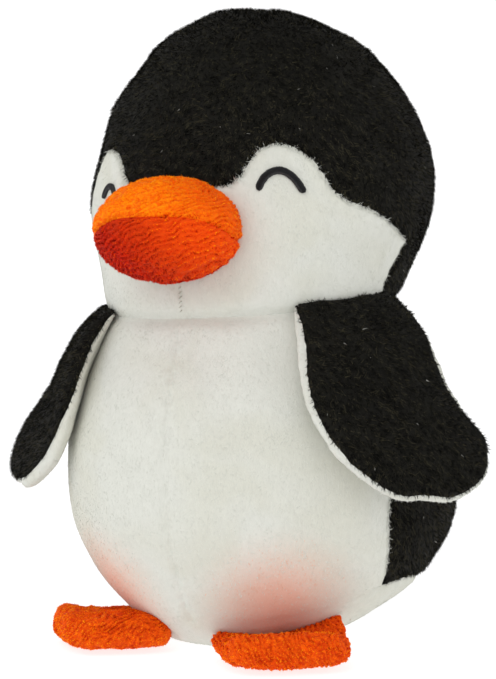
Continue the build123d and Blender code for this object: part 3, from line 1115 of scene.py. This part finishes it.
def on_foot(v, pose):
    """Takes a pad's points (across, forward, up) to a left foot: a full roll along the toes and the
    inner side, a hollow behind it, and a thin heel that climbs the body to the base seam."""
    az, corner, hollow, inner = pose
    out = radial(np.array(az))
    across = np.array((-out[1], out[0], 0))
    x, s, h = v.T
    thin = hollow * ease(70, 60, s) * (1 - inner * ease(-3, -14, x))
    h = h * (1 - np.where(h > 0, 0.78, 0.35) * thin)
    climb = ease(60, 43, s) * (hollow * (0.6 + 1.6 * ease(-10, 4, x)) + corner * ease(2, 21, x))
    z = 0.2 + FOOT_THICK / 2 - 1.6 * thin + climb + h
    return x[:, None] * across + s[:, None] * out + z[:, None] * np.array((0, 0, 1))


def foot_painted_shade(out):
    """Painted shade: darker loops in the hollow behind the toes, where the pile lies in shade."""
    return lambda p: 0.85 - 1.6 * ease(66, 58, p @ out) * ease(4, 8, p[:, 2])


def build_feet():
    v, t, q = stuffed(FOOT_PLAN, 1.8, FOOT_THICK, 81, 6.2, 3)
    t = t[:, ::-1]
    for side, sign in SIDES:
        body = "foot_" + side
        out = radial(np.array(FOOT_POSE[side][0]))
        flip, sew = sew_limb(sign)
        p = on_foot(v, FOOT_POSE[side])
        n = normals(p, t)
        rib = foot_rib(p)
        p = p - n * (0.3 * bell(q, 1.0) - 0.2 * ripple(p, 12, 82) - 0.34 * rib)[:, None]
        p[:, 2] = np.maximum(p[:, 2], 0.05)
        n = normals(p, t)
        for label, field, seed in (("top", q, 85), ("sole", -q, 86)):
            pt, pv, pn, mark = cut(t, field, p, n, rib)
            pv, pn, pt = pv * flip, pn * flip, pt[:, ::sign]
            skin = thicken(pv, pt, pn, LIMB_SKIN)
            sew(make(body + "_panel_" + label, *skin, [ORANGE_FOOT], "orange_plush"), body + "_" + label)
            tone = rib_tone(3.0, foot_painted_shade(out * flip))
            sew(pile(body + "_pile_" + label, [(pv, pt, pn)], FOOT_LOOPS, "orange_plush", *FOOT_NAP,
                     seed + sign, [1], comb=tuple(out * flip), mark=mark, tone_at=tone))
        core = on_foot(v * (0.84, 0.84, 0.4) + (0, 9.3, -0.5), FOOT_POSE[side])
        core[:, 2] = np.maximum(core[:, 2], 0.8)
        obj = make(body + "_stuffing", core * flip, t[:, ::sign], [FILLING], "fibre_filling", sharp=0)
        sew(obj, body + "_filling")


# ---- Label ----


def build_label():
    cols, rows = 27, 41
    az0, z0, wide, tall = 152.0, 36.0, 13.0, 20.0
    x, z = np.meshgrid(np.linspace(-0.5, 0.5, cols), np.linspace(0, 1, rows), indexing="xy")
    az = az0 + np.degrees(x * wide / 70)
    height = z0 + z * tall
    p = BODY.at(az, height)
    n = BODY.normal(az, height)
    lift = 1.3 + 0.9 * np.sin((1 - z) * 2.2) ** 2 + 0.25 * np.sin(x * 9)
    v = (p + n * lift[..., None]).reshape(-1, 3)
    i = np.arange(cols * rows).reshape(rows, cols)
    a, b, c, e = i[:-1, :-1].ravel(), i[:-1, 1:].ravel(), i[1:, 1:].ravel(), i[1:, :-1].ravel()
    t = np.vstack([np.stack([a, b, c], 1), np.stack([a, c, e], 1)])
    n = n.reshape(-1, 3)
    if (normals(v, t) * n).sum() < 0:
        t = t[:, ::-1]
    obj = make("care_label_cloth", *thicken(v, t, n, 0.4), [LABEL], "label_satin")
    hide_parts("care_label")
    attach(obj, "torso")


# ---- Studio ----


def studio():
    """A round white cove, its floor and wall faintly lit from within, and soft lights."""
    reach, rise, bend = 1.7, 1.6, 0.5
    profile = [(0.3, 0.0), (reach - bend, 0.0)]
    profile += [(reach - bend + bend * math.sin(a), bend - bend * math.cos(a))
                for a in np.linspace(0.1, math.pi / 2, 12)]
    profile += [(reach, rise)]
    steps = 96
    verts = [(r * math.cos(k * math.tau / steps), r * math.sin(k * math.tau / steps), z - 0.0005)
             for r, z in profile for k in range(steps)]
    faces = [tuple(range(steps))]
    for i in range(len(profile) - 1):
        for k in range(steps):
            j = (k + 1) % steps
            faces.append((i * steps + k, i * steps + steps + k, i * steps + steps + j, i * steps + j))
    mesh = bpy.data.meshes.new("cove")
    mesh.from_pydata(verts, [], faces)
    mesh.polygons.foreach_set("use_smooth", np.ones(len(faces), bool))
    t = Tree("studio_paper")
    t.set(t.shader, Base_Color=(0.4, 0.4, 0.4, 1), Roughness=1.0, Specular_IOR_Level=0.0)
    t.set(t.shader, Emission_Color=(1, 1, 1, 1), Emission_Strength=0.8)
    mesh.materials.append(t.material)
    cove = bpy.data.objects.new("cove", mesh)
    bpy.context.scene.collection.objects.link(cove)
    world = bpy.data.worlds.new("studio")
    world.use_nodes = True
    world.node_tree.nodes["Background"].inputs[0].default_value = (1, 1, 1, 1)
    world.node_tree.nodes["Background"].inputs[1].default_value = 0.3
    bpy.context.scene.world = world
    bpy.context.scene.view_settings.view_transform = "Standard"
    for name, az, elevation, away, size, power in (
        ("key", 5, 52, 1.4, 1.0, 4.3),
        ("left", -60, 30, 1.5, 1.0, 1.0),
    ):
        light = bpy.data.lights.new(name, "AREA")
        light.size = size
        light.energy = power
        obj = bpy.data.objects.new(name, light)
        e = math.radians(elevation)
        a = math.radians(az)
        place = Vector((math.sin(a) * math.cos(e), -math.cos(a) * math.cos(e), math.sin(e))) * away
        obj.location = place + Vector((0, 0, 0.1))
        obj.rotation_euler = (-place).to_track_quat("-Z", "Y").to_euler()
        bpy.context.scene.collection.objects.link(obj)


def camera():
    """The fitted view: turned from the front by az, then by yaw, pitch and roll."""
    az, pitch, roll, yaw = (math.radians(a) for a in (27.44, -0.37, -0.19, -0.42))
    far, height = 0.6295, 0.1117
    ahead0 = Vector((-math.sin(az), math.cos(az), 0))
    right0 = Vector((math.cos(az), math.sin(az), 0))
    up0 = Vector((0, 0, 1))
    level = ahead0 * math.cos(yaw) + right0 * math.sin(yaw)
    right1 = right0 * math.cos(yaw) - ahead0 * math.sin(yaw)
    ahead = level * math.cos(pitch) + up0 * math.sin(pitch)
    up1 = right1.cross(ahead)
    right = right1 * math.cos(roll) + up1 * math.sin(roll)
    up = right.cross(ahead)
    data = bpy.data.cameras.new("camera")
    data.lens = 91.7
    data.sensor_width = 36
    data.clip_start = 0.01
    obj = bpy.data.objects.new("camera", data)
    spin = Matrix((right, up, -ahead)).transposed().to_4x4()
    obj.matrix_world = Matrix.Translation((math.sin(az) * far, -math.cos(az) * far, height)) @ spin
    bpy.context.scene.collection.objects.link(obj)
    bpy.context.scene.camera = obj


build_head()
build_body()
build_beak()
build_eyes()
build_centre_stitches()
build_wings()
build_feet()
build_label()
torso_pile()
studio()
camera()
